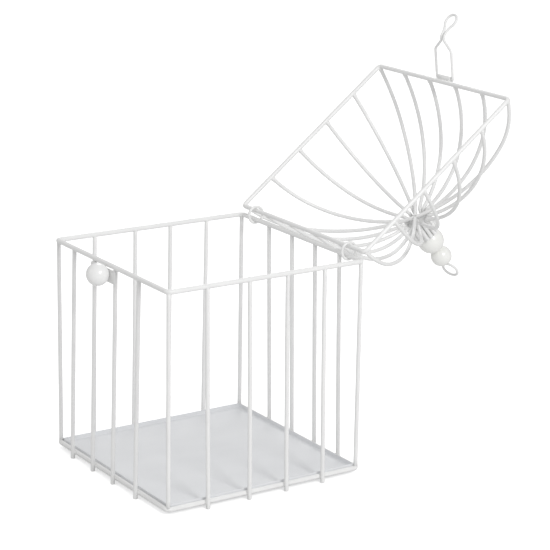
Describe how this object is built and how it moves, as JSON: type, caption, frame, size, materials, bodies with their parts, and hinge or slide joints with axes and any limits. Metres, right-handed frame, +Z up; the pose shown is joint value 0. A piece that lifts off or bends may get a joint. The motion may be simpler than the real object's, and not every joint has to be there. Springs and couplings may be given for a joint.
{
  "type": "card box",
  "caption": "Square wire birdcage card box with a sheet floor, a domed wire lid hinged on two rings, a beaded finial and a wire clasp that drops over a round knob.",
  "frame": {"origin": "middle of the whole object's footprint, lid open, on the plane that the feet stand on", "axes": "+Z up; +Y towards the hinge and the open lid, so the knob and the front are at -Y; +X to the right seen from the front, along the hinge"},
  "size_m": [0.2074, 0.399, 0.3869],
  "materials": {
    "wire_paint": "satin",
    "floor_paint": "satin",
    "bead_gloss": "gloss",
    "knob_gloss": "gloss",
    "fixing_steel": "satin"
  },
  "bodies": {
    "cage": {"floor_tray": "floor_paint", "bottom_rail": "wire_paint", "top_rail": "wire_paint", "post_front_left": "wire_paint", "post_front_right": "wire_paint", "post_back_right": "wire_paint", "post_back_left": "wire_paint", "front_bar_1": "wire_paint", "front_bar_2": "wire_paint", "front_bar_3": "wire_paint", "front_bar_4": "wire_paint", "right_bar_1": "wire_paint", "right_bar_2": "wire_paint", "right_bar_3": "wire_paint", "right_bar_4": "wire_paint", "back_bar_1": "wire_paint", "back_bar_2": "wire_paint", "back_bar_3": "wire_paint", "back_bar_4": "wire_paint", "left_bar_1": "wire_paint", "left_bar_2": "wire_paint", "left_bar_3": "wire_paint", "left_bar_4": "wire_paint", "knob_strap": "wire_paint", "knob_stud": "fixing_steel", "knob_ball": "knob_gloss", "hinge_ring_left": "wire_paint", "hinge_ring_right": "wire_paint"},
    "lid": {"lid_rail": "wire_paint", "dome_corner_front_left": "wire_paint", "dome_corner_front_right": "wire_paint", "dome_corner_back_right": "wire_paint", "dome_corner_back_left": "wire_paint", "dome_front_1": "wire_paint", "dome_front_2": "wire_paint", "dome_front_3": "wire_paint", "dome_front_4": "wire_paint", "dome_right_1": "wire_paint", "dome_right_2": "wire_paint", "dome_right_3": "wire_paint", "dome_right_4": "wire_paint", "dome_back_1": "wire_paint", "dome_back_2": "wire_paint", "dome_back_3": "wire_paint", "dome_back_4": "wire_paint", "dome_left_1": "wire_paint", "dome_left_2": "wire_paint", "dome_left_3": "wire_paint", "dome_left_4": "wire_paint", "crown_tube": "wire_paint", "crown_plate": "wire_paint", "finial_stem": "wire_paint", "bead_large": "bead_gloss", "bead_small": "bead_gloss", "clasp_barrel": "wire_paint"},
    "clasp": {"clasp_wire": "wire_paint"}
  },
  "joints": [
    {"name": "lid_hinge", "type": "hinge", "parent": "cage", "child": "lid", "pos_m": [0, 0.01979, 0.2017], "axis": [1, 0, 0], "range_deg": [0, 142]},
    {"name": "clasp_swing", "type": "hinge", "parent": "lid", "child": "clasp", "pos_m": [0, 0.17773, 0.327], "axis": [1, 0, 0], "range_deg": [-89, 31]}
  ]
}
